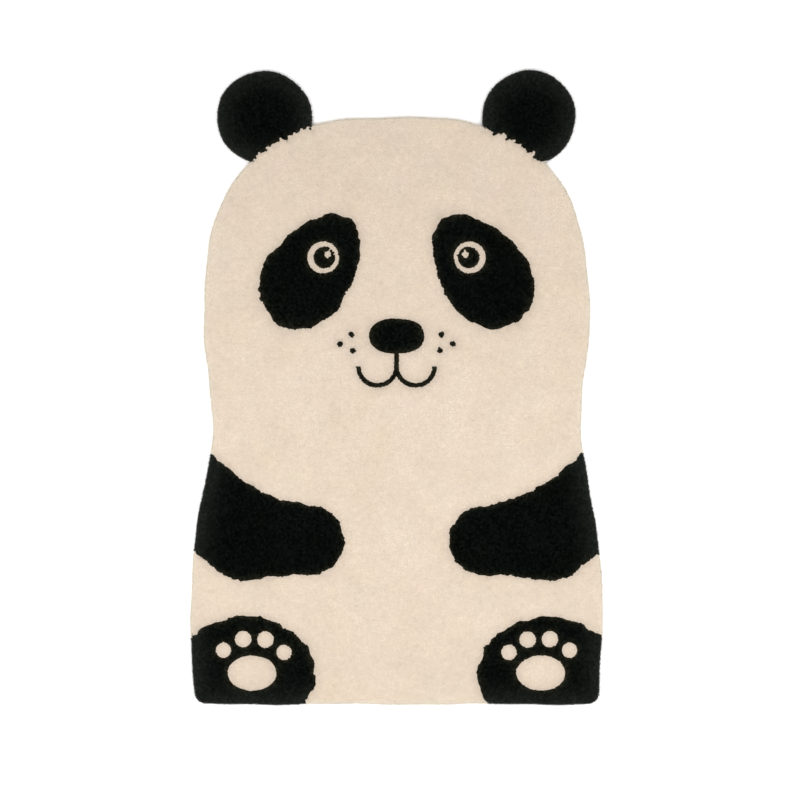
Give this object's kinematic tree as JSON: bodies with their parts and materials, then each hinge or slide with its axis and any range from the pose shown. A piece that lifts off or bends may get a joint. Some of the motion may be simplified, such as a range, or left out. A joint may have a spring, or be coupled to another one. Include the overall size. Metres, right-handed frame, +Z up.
{
  "type": "shaped rug",
  "caption": "Flat hand-tufted rug for a child's room in the outline of a sitting panda, with a straight hem, a domed head and round ears.",
  "frame": {"origin": "on the underside, in the middle of the bounding box, where the rug rests on the floor", "axes": "+Y from the straight hem to the panda's head, +X to the right seen from above with the head up, +Z up through the pile"},
  "size_m": [0.78, 1.2, 0.014],
  "materials": {
    "wool_cream": "matt cut wool pile, undyed cream",
    "wool_black": "matt cut wool pile, black",
    "canvas": "plain woven cotton backing canvas"
  },
  "bodies": {
    "root": {"rug": "wool_cream"}
  },
  "joints": []
}
